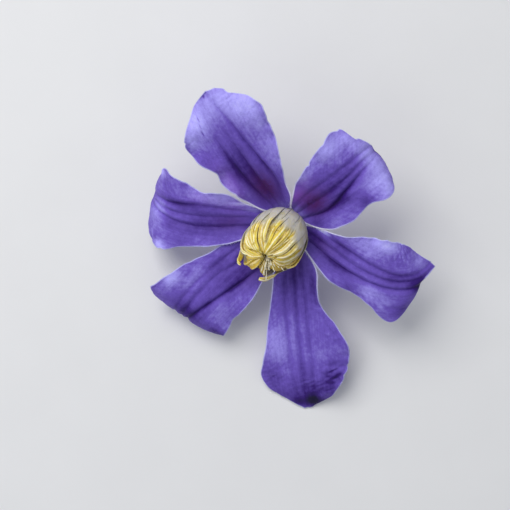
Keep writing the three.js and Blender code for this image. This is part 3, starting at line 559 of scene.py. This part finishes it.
def tepal_mesh(tepal, seed):
    """The blade as a closed body with a rounded rim, and the rim's points, directions and shares along."""
    points, fields = blade(tepal, seed)
    inwards = smooth(fields["margin"], 0, 3)
    thickness = TEPAL_EDGE_THICKNESS + (TEPAL_THICKNESS - TEPAL_EDGE_THICKNESS) * inwards
    half = surface_normals(points) * thickness[..., None] / 2
    upper, lower = points + half, points - half
    outward = unit(points[:, -1] - points[:, -2])
    outward_cw = unit(points[:, 0] - points[:, 1])
    rim_ccw = points[:, -1] + outward * TEPAL_EDGE_THICKNESS / 2
    rim_cw = points[:, 0] + outward_cw * TEPAL_EDGE_THICKNESS / 2
    loops = np.concatenate([upper, rim_ccw[:, None], lower[:, ::-1], rim_cw[:, None]], 1)
    sides = loops.shape[1]

    def round_loop(field):
        return np.concatenate([field, field[:, -1:], field[:, ::-1], field[:, :1]], 1)

    data = {label: round_loop(field).ravel() for label, field in fields.items()}
    top = np.zeros((TEPAL_ROWS, sides))
    top[:, :TEPAL_COLUMNS] = 1
    top[:, [TEPAL_COLUMNS, -1]] = 0.5
    data["upper"] = top.ravel()

    walls = tube_walls(TEPAL_ROWS, sides)[:, [0, 3, 2, 1]]
    opposite = 2 * TEPAL_COLUMNS - np.arange(TEPAL_COLUMNS)
    caps = []
    for j in range(TEPAL_COLUMNS - 1):
        near = (j, j + 1, opposite[j + 1], opposite[j])
        caps += [near, tuple(k + (TEPAL_ROWS - 1) * sides for k in reversed(near))]
    for corner in ((TEPAL_COLUMNS - 1, TEPAL_COLUMNS, TEPAL_COLUMNS + 1), (sides - 2, sides - 1, 0)):
        caps += [corner, tuple(k + (TEPAL_ROWS - 1) * sides for k in reversed(corner))]
    rim = (np.vstack([rim_ccw, rim_cw]), np.vstack([outward, outward_cw]), np.tile(fields["along"][:, 0], 2))
    return loops.reshape(-1, 3), [*walls.tolist(), *caps], data, rim


def make_tepals(finishes):
    random = np.random.default_rng(DOWN_SEED)
    for index, (name, tepal) in enumerate(TEPALS.items()):
        points, faces, fields, (edge, outward, u) = tepal_mesh(tepal, seed=10 * index + 3)
        mesh_piece(name + "_petal", on_surface(placed(points)), faces, name,
                   finishes["petal"], fields)

        count = int(2 * tepal["length"] * EDGE_DOWN_PER_MM)
        picked = random.integers(0, len(edge), count)
        picked = picked[random.random(count) > EDGE_DOWN_THINNED * smooth(u[picked], 0.1, 0.6)]
        count = len(picked)
        roots = edge[picked] + random.normal(scale=0.05, size=(count, 3))
        directions = unit(outward[picked] + random.normal(scale=0.45, size=(count, 3)))
        lengths = random.uniform(*EDGE_HAIR_LENGTHS, count) * (1.5 - 0.8 * u[picked])
        points, faces, fields = down(roots, directions, lengths, EDGE_HAIR_RADIUS, random)
        mesh_piece(name + "_down", on_surface(placed(points)), faces, name,
                   finishes["down"], fields)


# Stamens

def drooped(points):
    """Leans the barrel: what stands higher in it lies further over to its drooping side."""
    return points + points[..., 2:] * math.tan(math.radians(BARREL_DROOP)) * heading_vector(BARREL_HEADING)


def bezier(controls, t):
    a, b, c, d = (np.asarray(p, float) for p in controls)
    t = np.asarray(t, float)[:, None]
    return (1 - t) ** 3 * a + 3 * (1 - t) ** 2 * t * b + 3 * (1 - t) * t ** 2 * c + t ** 3 * d


def strap(path, across, t, roll, wide, begins, seed):
    """One stamen along its path: filament first, then the anther with its ridge and two pollen sacs."""
    along = unit(np.gradient(path, axis=0))
    out = unit(np.cross(across, along))
    curl = STAMEN_CURL * noise(t * 6, 0, seed + 2) * smooth(t, 0.45, 0.65)
    turn = (np.radians(roll) * smooth(t, 0.42, 0.8) + curl)[:, None]
    out = out * np.cos(turn) + np.cross(along, out) * np.sin(turn)
    side = np.cross(out, along)
    width = wide * through(STAMEN_WIDTH_STATIONS, STAMEN_WIDTHS, t) / 2
    anther = smooth(t, begins - ANTHER_FADE, begins + ANTHER_FADE)
    place, on_anther, on_filament = (np.array(column) for column in zip(*STRAP_SECTION))
    height = on_anther * anther[:, None] + on_filament * (1 - anther[:, None])
    height = height * np.minimum(1, 0.35 + width * 1.1)[:, None]
    grain = noise(t[:, None] * 34, place[None, :] * 2.2 + np.sign(height) * 5, seed)
    height = height + ANTHER_GRAIN * grain * anther[:, None] * (np.abs(place) < 0.95)
    sway = ANTHER_SWAY * noise(t * 7, 0, seed + 1)[:, None] * anther[:, None]
    rings = (path[:, None] + side[:, None] * (place * width[:, None] + sway)[..., None]
             + out[:, None] * height[..., None])
    sides = len(place)
    ends = [0, -1]
    ridge = np.tile(bell(place, 0.27) * (on_anther >= 0), (len(t), 1))
    fields = {
        "ridge": np.append(ridge.ravel(), ridge[ends].mean(1)),
        "along": np.append(np.repeat(t, sides), t[ends]),
        "anther": np.append(np.repeat(anther, sides), anther[ends]),
        "edge": np.append(np.tile(np.abs(place), len(t)), [1, 1]),
    }
    return with_caps(rings), tube_faces(len(t), sides), fields


def stamen_path(stamen, t):
    """The path of a strap round the barrel, and the direction across it along the barrel's wall."""
    away = math.cos(math.radians(stamen["start"] - BARREL_FLAT_HEADING))
    bulge = STAMEN_BULGE * stamen["bulge"] * (1 - BARREL_FLAT_SHARE * smooth(away, 0.3, 1))
    tip, height = stamen["tip"], stamen["height"]
    curve = bezier([(STAMEN_ROOT, STAMEN_ROOT_HEIGHT), (bulge * 1.25, STAMEN_ROOT_HEIGHT + 0.6),
                    (bulge * 1.2 + tip * 0.1, height), (tip, height)], t)
    angle = np.radians(stamen["start"] + (stamen["end"] - stamen["start"]) * t ** STAMEN_TURN_POWER)
    path = np.stack([curve[:, 0] * np.cos(angle), curve[:, 0] * np.sin(angle), curve[:, 1]], -1)
    return drooped(path), np.stack([-np.sin(angle), np.cos(angle), 0 * angle], -1)


def inner_stamens(random):
    """Rings of straps like the outer ones, each a little different, lower where the barrel's mouth opens."""
    for level, ring in enumerate(INNER_STAMENS):
        for i in range(ring["count"]):
            azimuth = 360 / ring["count"] * (i + level / 2 + 0.4 * (random() - 0.5))
            opened = float(smooth(math.cos(math.radians(azimuth - STYLE_HEADING)), 0.3, 0.95))
            # Their pale stays low, so these straps deep in the barrel are mostly painted in shade
            yield dict(start=azimuth, end=azimuth + 30 * (random() - 0.5),
                       tip=ring["tip"] + 0.8 * random() + ring["opened"] * opened,
                       height=ring["height"] + 1.2 * (random() - 0.5) - 1.8 * opened,
                       bulge=ring["bulge"] * (1 + 0.08 * (random() - 0.5)),
                       roll=80 * (random() - 0.5), pale=0.5 * random())


def make_stamens(finishes):
    random = np.random.default_rng(STAMEN_SEED).random
    t = np.linspace(0, 1, STAMEN_STEPS)
    parts = []
    outer = [dict(stamen, end=stamen["end"] + 360 * round((stamen["start"] - stamen["end"]) / 360))
             for stamen in OUTER_STAMENS]
    for index, stamen in enumerate([*outer, *inner_stamens(random)]):
        path, across = stamen_path(stamen, t)
        draw = random()
        begins = ANTHER_BEGINS + ANTHER_BEGINS_SPREAD * (2 * draw - 1)
        wide = stamen.get("wide", 1) * (STAMEN_NARROWEST + STAMEN_WIDTH_SPREAD * draw)
        points, faces, fields = strap(path, across, t, stamen["roll"], wide, begins, seed=100 + index)
        fields["draw"] = np.full(len(points), draw)
        # How pale the strap is: how lit its material paints it, with painted highlights or painted shade
        fields["pale"] = np.full(len(points), stamen["pale"])
        parts.append((points, faces, fields))
    points, faces, fields = joined(parts)
    mesh_piece("stamen_barrel", placed(points), faces, "stamens", finishes["stamen"], fields)


# Styles

def round_tube(path, radii, sides, start):
    """Rings of points round a path, from a start direction on, with a radius for each ring or point."""
    along = unit(np.gradient(path, axis=0))
    start = np.asarray(start, float)
    side = unit(start - along * (along @ start)[:, None])
    other = np.cross(along, side)
    angle = np.linspace(0, 2 * np.pi, sides, endpoint=False)
    radii = np.asarray(radii, float)
    if radii.ndim == 1:
        radii = radii[:, None] + np.zeros(sides)
    return path[:, None] + radii[..., None] * (side[:, None] * np.cos(angle)[None, :, None]
                                               + other[:, None] * np.sin(angle)[None, :, None])


def make_styles(finishes):
    random = np.random.default_rng(STYLE_SEED).random
    t = np.linspace(0, 1, STYLE_STEPS)
    shares = {"along": np.append(np.repeat(t, STYLE_SIDES), [0, 1])}
    parts = []
    for i in range(STYLE_COUNT):
        spread = (0.3 + 0.3 * random()) * heading_vector(360 / STYLE_COUNT * i)
        height = STYLE_HEIGHT - 1.2 * random()
        reach = STYLE_REACH * (0.15 + 0.85 * random())
        fan = heading_vector(STYLE_HEADING + 60 * (random() - 0.5))
        over = smooth(t, 0.62, 1.25) / smooth(1.0, 0.62, 1.25)
        path = spread * (1.4 - 0.6 * t[:, None]) + fan * (reach * over)[:, None]
        path = path + np.outer(CARPELS_FOOT + 1 + (height - 1) * t - 1.4 * over ** 3, (0, 0, 1))
        radii = STYLE_RADIUS * (1.1 - 0.4 * t + 0.9 * smooth(t, 0.93, 0.98))
        rings = round_tube(drooped(path), radii, STYLE_SIDES, start=(1, 0, 0))
        parts.append((with_caps(rings), tube_faces(len(t), STYLE_SIDES), shares))
    h = np.linspace(0, 1, 12)
    profile = CARPELS_RADIUS * np.sqrt(np.maximum(1 - h ** 3, 0.02))
    spine = np.outer(CARPELS_FOOT + CARPELS_HEIGHT * h, (0, 0, 1))
    rings = round_tube(spine, profile, CARPELS_SIDES, start=(1, 0, 0))
    shares = {"along": np.zeros(len(h) * CARPELS_SIDES + 2)}
    parts.append((with_caps(rings), tube_faces(len(h), CARPELS_SIDES), shares))
    points, faces, fields = joined(parts)
    mesh_piece("style_tuft", placed(points), faces, "styles", finishes["style"], fields)


# Stalk

def stalk_path(t):
    """From the receptacle's top, down along the flower's axis, to the cut end on the surface."""
    axis = lean_matrix() @ np.array([0, 0, 1.0])
    run = heading_vector(STALK_END_HEADING)
    centre = np.array(CENTRE)
    end = np.array([centre[0] + STALK_END[0], centre[1] + STALK_END[1], STALK_RADIUS])
    return bezier([centre + axis * RECEPTACLE_TOP, centre - axis * STALK_DROP,
                   end - run * STALK_END_RUN, end], t)


def make_stalk(finishes):
    fine = stalk_path(np.linspace(0, 1, 400))
    length = np.append(0, np.cumsum(np.linalg.norm(np.diff(fine, axis=0), axis=1)))
    share = np.concatenate([np.linspace(0, 0.3, 50), np.linspace(0.3, 1, 90)[1:]])
    path = np.stack([np.interp(share * length[-1], length, fine[:, axis]) for axis in range(3)], -1)
    angle = np.linspace(0, 2 * np.pi, STALK_SIDES, endpoint=False)
    ribs = np.cos(STALK_RIBS * angle)[None, :] * STALK_RIB_HEIGHT
    rough = STALK_ROUGHNESS * noise(share[:, None] * 60, angle[None, :] * 4, 5)
    below_receptacle = smooth(share, 0.08, 0.25)[:, None]
    radii = through(*zip(*STALK_PROFILE), share)[:, None] + (ribs + rough) * below_receptacle
    rings = round_tube(path, radii, STALK_SIDES, start=heading_vector(STALK_END_HEADING + 90))
    fields = {"along": np.append(np.repeat(share, STALK_SIDES), [0, 1]),
              "rib": np.append(np.tile(np.cos(STALK_RIBS * angle), len(share)), [0, 0])}
    mesh_piece("stalk_stem", on_surface(with_caps(rings) * MM), tube_faces(len(share), STALK_SIDES),
               "stalk", finishes["stem"], fields)

    random = np.random.default_rng(DOWN_SEED + 1)
    rows = random.integers(STALK_DOWN_FIRST_RING, len(share) - 2, STALK_DOWN_COUNT)
    columns = random.integers(0, STALK_SIDES, STALK_DOWN_COUNT)
    roots = rings[rows, columns]
    outward = unit(roots - path[rows])
    above = roots[:, 2] > STALK_DOWN_ABOVE
    roots, outward = roots[above], outward[above]
    directions = unit(outward + random.normal(scale=0.35, size=roots.shape))
    lengths = random.uniform(*STALK_HAIR_LENGTHS, len(roots))
    points, faces, fields = down(roots, directions, lengths, STALK_HAIR_RADIUS, random)
    mesh_piece("stalk_down", on_surface(points * MM), faces, "stalk", finishes["down"], fields)


# Materials

class Field:
    """A number that varies over a surface. Python's operators on it add Math nodes."""

    def __init__(self, finish, socket):
        self.finish = finish
        self.socket = socket

    def math(self, operation, *values):
        return self.finish.node("Math", {"operation": operation}, dict(enumerate(values)))

    def __add__(self, other):
        return self.math("ADD", self, other)

    def __sub__(self, other):
        return self.math("SUBTRACT", self, other)

    def __rsub__(self, other):
        return self.math("SUBTRACT", other, self)

    def __mul__(self, other):
        return self.math("MULTIPLY", self, other)

    __radd__ = __add__
    __rmul__ = __mul__

    def limited(self):
        return self.finish.node("Clamp", values={"Value": self})

    def between(self, low, high):
        """0 at low and 1 at high, with a soft start and end."""
        return self.finish.node("MapRange", {"interpolation_type": "SMOOTHSTEP"},
                                {"Value": self, "From Min": low, "From Max": high})


class Finish:
    """A material under construction: its nodes, and the surface that they feed."""

    def __init__(self, name, **surface):
        self.material = bpy.data.materials.new(name)
        self.material.use_nodes = True
        self.tree = self.material.node_tree
        self.tree.nodes.clear()
        self.shader = self.add("BsdfPrincipled", {}, surface)
        self.add("OutputMaterial", {}, {"Surface": Field(self, self.shader.outputs[0])})

    def add(self, kind, settings, values):
        node = self.tree.nodes.new("ShaderNode" + kind)
        for label, value in settings.items():
            setattr(node, label, value)
        for label, value in values.items():
            self.put(node.inputs[label], value)
        return node

    def put(self, socket, value):
        if isinstance(value, Field):
            self.tree.links.new(value.socket, socket)
        else:
            socket.default_value = value

    def node(self, kind, settings=None, values=None, output=0):
        return Field(self, self.add(kind, settings or {}, values or {}).outputs[output])

    def fields(self, *labels):
        """The numbers that the mesh carries under these labels."""
        return [self.node("Attribute", {"attribute_name": label}, output="Fac") for label in labels]

    def mix(self, factor, first, second, blend="MIX"):
        """Two colours mixed by a factor, which the node limits to 0 to 1."""
        node = self.add("Mix", {"data_type": "RGBA", "blend_type": blend}, {0: factor, 6: first, 7: second})
        return Field(self, node.outputs[2])

    def place(self, x, y, z=0.0):
        return self.node("CombineXYZ", values={0: x, 1: y, 2: z})

    def noise(self, place, scale, detail=3.0, roughness=0.55):
        """Noise from 0 to 1 at a place."""
        return self.node("TexNoise", values={"Vector": place, "Scale": scale, "Detail": detail,
                                             "Roughness": roughness})

    def surface(self, label, value):
        self.put(self.shader.inputs[label], value)

    def finished(self, hue, roughness, relief, distance):
        """The material, with its colour, its roughness and a fine relief."""
        self.surface("Base Color", hue)
        self.surface("Roughness", roughness)
        self.surface("Normal", self.node("Bump", values={"Height": relief, "Distance": distance}))
        return self.material


def colour(red, green, blue):
    return (red, green, blue, 1.0)


# The tepals: the face from its palest to its darkest, the flushes near the foot, the back and the rim
PALEST_LAVENDER = colour(0.66, 0.65, 1.0)
LAVENDER = colour(0.43, 0.385, 0.97)
VIOLET = colour(0.148, 0.088, 0.485)
DEEP_VIOLET = colour(0.034, 0.008, 0.17)
DARKEST_VIOLET = colour(0.007, 0.004, 0.035)
MAGENTA = colour(0.24, 0.09, 0.52)
WINE_RED = colour(0.062, 0.01, 0.115)
BACK_VIOLET = colour(0.32, 0.27, 0.6)
BACK_LAVENDER = colour(0.5, 0.45, 0.82)
BACK_DARK = colour(0.14, 0.09, 0.24)
RIM_AT_TIP = colour(0.6, 0.62, 0.98)
RIM_AT_FOOT = colour(0.9, 0.88, 1.0)
VELVET = colour(0.7, 0.6, 1.0)

# The stamens: pollen sacs, with a shaded ochre as painted shade, the ridge between them, whose creams are
# also painted highlights, and the filaments, with a painted shade at their edges
OCHRE = colour(0.5, 0.33, 0.01)
YELLOW = colour(0.8, 0.62, 0.06)
SHADED_OCHRE = colour(0.56, 0.34, 0.012)
CREAM_YELLOW = colour(0.98, 0.92, 0.46)
CREAM = colour(0.98, 0.9, 0.64)
FILAMENT_FOOT = colour(0.3, 0.27, 0.38)
FILAMENT = colour(0.62, 0.59, 0.52)
FILAMENT_OLIVE = colour(0.45, 0.4, 0.2)
FILAMENT_EDGE_SHADE = colour(0.36, 0.33, 0.34)

# The styles, the down, the stalk and the floor
STYLE_FOOT = colour(0.66, 0.5, 0.14)
STYLE_WHITE = colour(1.0, 0.98, 0.84)
DOWN_LILAC = colour(0.62, 0.6, 0.78)
DOWN_WHITE = colour(0.85, 0.84, 0.92)
STALK_GREEN = colour(0.13, 0.17, 0.045)
STALK_PURPLE = colour(0.13, 0.06, 0.08)
STALK_CUT = colour(0.42, 0.46, 0.22)
FLOOR_GREY = colour(0.72, 0.72, 0.73)
FLOOR_WHITE = colour(0.76, 0.76, 0.77)


def petal_finish():
    """Velvety violet, dark in the grooves, wine red near the foot, lavender outwards and pale at the rim."""
    finish = Finish("violet petal", **{"Specular IOR Level": 0.2, "Sheen Weight": 0.05,
                                       "Sheen Roughness": 0.45, "Sheen Tint": VELVET})
    u, across, distance, upper = finish.fields("along", "across", "distance", "upper")
    margin, groove, branch, strand = finish.fields("margin", "groove", "branch", "strand")
    tone, wine, blush = finish.fields("tone", "wine", "blush")

    streaks = finish.noise(finish.place(across * 1.6, distance * 0.16), 1.0, 4.0)
    clouds = finish.noise(finish.place(across * 0.22, distance * 0.18, 4.0), 1.0, 3.0)
    mottle = finish.noise(finish.place(across * 0.9, distance * 0.8, 6.0), 1.0, 5.0, 0.65)
    grain = finish.noise(finish.place(across, distance, 9.0), 3.2, 2.0)

    light = (tone + 0.07 + (clouds - 0.5) * 0.5 + (streaks - 0.5) * 0.45 + (mottle - 0.5) * 0.8
             - branch * 0.12 - strand * 0.1 - groove * (u.between(0.05, 0.4) * 0.4 + 0.25))
    face = finish.mix(light, VIOLET, LAVENDER)
    face = finish.mix(light - 1, face, PALEST_LAVENDER)
    face = finish.mix(light * -1, face, DEEP_VIOLET)
    face = finish.mix(light * -1 - 1, face, DARKEST_VIOLET)
    face = finish.mix(blush * 0.6, face, MAGENTA)
    face = finish.mix(wine * clouds.between(0.1, 0.5) * 0.75 + (mottle - 0.5) * wine, face, WINE_RED)

    back = finish.mix(clouds, BACK_VIOLET, BACK_LAVENDER)
    back = finish.mix(groove * 0.5 + (1 - u.between(0.1, 0.6)) * 0.4, back, BACK_DARK)
    hue = finish.mix(upper, back, face)
    near_foot = 1 - u.between(0.05, 0.4)
    rim = (1 - (margin * (1 - near_foot * 0.45)).between(0.05, 0.3)) * (0.55 + near_foot * 0.4)
    hue = finish.mix(rim, hue, finish.mix(near_foot, RIM_AT_TIP, RIM_AT_FOOT))
    shade = 0.82 + grain * 0.36
    shade = finish.node("CombineColor", values={0: shade, 1: shade, 2: 0.88 + grain * 0.24})
    hue = finish.mix(1.0, hue, shade, blend="MULTIPLY")
    return finish.finished(hue, 0.5 + grain * 0.2, grain * 0.6 + streaks * 0.4, 0.00012)


def stamen_finish():
    """Greyish cream filaments, and anthers with a pale ridge between ochre sacs, with painted highlights and
    shade.
    """
    finish = Finish("stamen", **{"Specular IOR Level": 0.35, "Subsurface Weight": 0.15,
                                 "Subsurface Radius": (0.6, 0.4, 0.15), "Subsurface Scale": 0.0006})
    ridge, along, anther = finish.fields("ridge", "along", "anther")
    draw, pale, edge = finish.fields("draw", "pale", "edge")
    place = finish.node("TexCoord", output="Object")
    grain = finish.noise(place, 3200.0, 3.0)
    patches = finish.noise(place, 420.0, 2.0)
    highlight_breaks = finish.noise(place, 1100.0, 2.0)
    sac = finish.mix(patches.between(0.3, 0.7), OCHRE, YELLOW)
    # Painted shade: straps with a low pale take the shaded ochre
    sac = finish.mix(0.5 - pale * 0.7, sac, SHADED_OCHRE)
    ridge_and_highlight = finish.mix(draw, CREAM_YELLOW, CREAM)
    # Painted highlights: the ridge's cream, brighter on straps with a high pale and along the strap's edges,
    # broken up in places
    light = (ridge * (0.6 + pale * 0.8) + edge.between(0.72, 0.95) * 0.4) * highlight_breaks.between(0.25, 0.55)
    light = light + (pale - 1).limited() * 0.7 + (grain - 0.5) * 0.7 + (draw - 0.5) * 0.2
    yellow = finish.mix(light, sac, ridge_and_highlight)
    thread = finish.mix(along.between(0.1, 0.5), FILAMENT_FOOT, FILAMENT)
    thread = finish.mix(draw * 0.85 * patches.between(0.3, 0.7), thread, FILAMENT_OLIVE)
    # Painted shade along each filament's edges, where it meets the next strap
    thread = finish.mix(edge.between(0.75, 1.0) * 0.35, thread, FILAMENT_EDGE_SHADE)
    hue = finish.mix(anther + (patches - 0.5) * 0.5 * (1 - along), thread, yellow)
    return finish.finished(hue, 0.5 + grain * 0.25, grain, 0.00012)


def thread_finish(name, first, second, roughness, scale):
    """For styles and hairs: two close colours mottled together, the second one towards the free end."""
    finish = Finish(name, **{"Specular IOR Level": 0.4, "Sheen Weight": 0.3})
    along, = finish.fields("along")
    patches = finish.noise(finish.node("TexCoord", output="Object"), scale, 3.0)
    hue = finish.mix(patches * 0.6 + along * 0.4, first, second)
    return finish.finished(hue, roughness + patches * 0.15, patches, 0.00006)


def stem_finish():
    """Green flushed with purple along the ribs, with a pale cut end."""
    finish = Finish("stem", **{"Specular IOR Level": 0.35, "Sheen Weight": 0.35})
    rib, along = finish.fields("rib", "along")
    place = finish.node("TexCoord", output="Object")
    patches = finish.noise(place, 320.0, 4.0)
    hue = finish.mix(rib * 0.3 + 0.35 + (patches - 0.5) * 0.9, STALK_GREEN, STALK_PURPLE)
    hue = finish.mix(along.between(0.996, 1.0), hue, STALK_CUT)
    return finish.finished(hue, 0.55 + patches * 0.15, patches, 0.0001)


def floor_finish():
    finish = Finish("pale floor", **{"Specular IOR Level": 0.2, "Roughness": 0.8})
    place = finish.node("TexCoord", output="Object")
    finish.surface("Base Color", finish.mix(finish.noise(place, 40.0, 4.0), FLOOR_GREY, FLOOR_WHITE))
    return finish.material


# The set

def make_camera():
    """Looks straight down, with the flower as far off the middle as in the photograph."""
    away = np.array(FLOWER_AT_PIXEL) - IMAGE_SIDE / 2
    x = CENTRE[0] - away[0] * MM_PER_PIXEL
    y = CENTRE[1] + away[1] * MM_PER_PIXEL
    camera = bpy.data.cameras.new("camera")
    camera.sensor_width = SENSOR
    camera.lens = SENSOR * CAMERA_ABOVE_FLOWER / (IMAGE_SIDE * MM_PER_PIXEL)
    holder = added("camera", camera)
    holder.location = (x * MM, y * MM, (CENTRE[2] + CAMERA_ABOVE_FLOWER) * MM)
    bpy.context.scene.camera = holder


def make_light(name, location, size, energy, tint):
    """A square soft light that faces the flower."""
    light = bpy.data.lights.new(name, "AREA")
    light.size = size
    light.energy = energy
    light.color = tint
    holder = added(name, light)
    holder.location = location
    holder.rotation_euler = (-Vector(location)).to_track_quat("-Z", "Y").to_euler()


def make_set():
    mesh = bpy.data.meshes.new("floor")
    half = FLOOR_HALF_SIDE
    corners = [(-half, -half, 0), (half, -half, 0), (half, half, 0), (-half, half, 0)]
    mesh.from_pydata(corners, [], [(0, 1, 2, 3)])
    mesh.materials.append(floor_finish())
    floor = added("floor", mesh)

    make_light("sky_box", (-0.25, 0.35, 0.62), size=0.5, energy=4.2, tint=(1.0, 0.99, 0.97))
    make_light("fill", (-0.45, -0.35, 0.5), size=0.6, energy=0.8, tint=(0.93, 0.96, 1.0))
    world = bpy.data.worlds.new("studio")
    world.use_nodes = True
    background = world.node_tree.nodes["Background"]
    background.inputs["Color"].default_value = STUDIO_TINT
    background.inputs["Strength"].default_value = STUDIO_STRENGTH
    bpy.context.scene.world = world
    bpy.context.scene.view_settings.view_transform = "Standard"


def make_flower():
    finishes = {
        "petal": petal_finish(),
        "stamen": stamen_finish(),
        "stem": stem_finish(),
        "style": thread_finish("style", STYLE_FOOT, STYLE_WHITE, roughness=0.45, scale=900.0),
        "down": thread_finish("down", DOWN_LILAC, DOWN_WHITE, roughness=0.5, scale=500.0),
    }
    make_tepals(finishes)
    make_stamens(finishes)
    make_styles(finishes)
    make_stalk(finishes)


make_camera()
make_set()
make_flower()
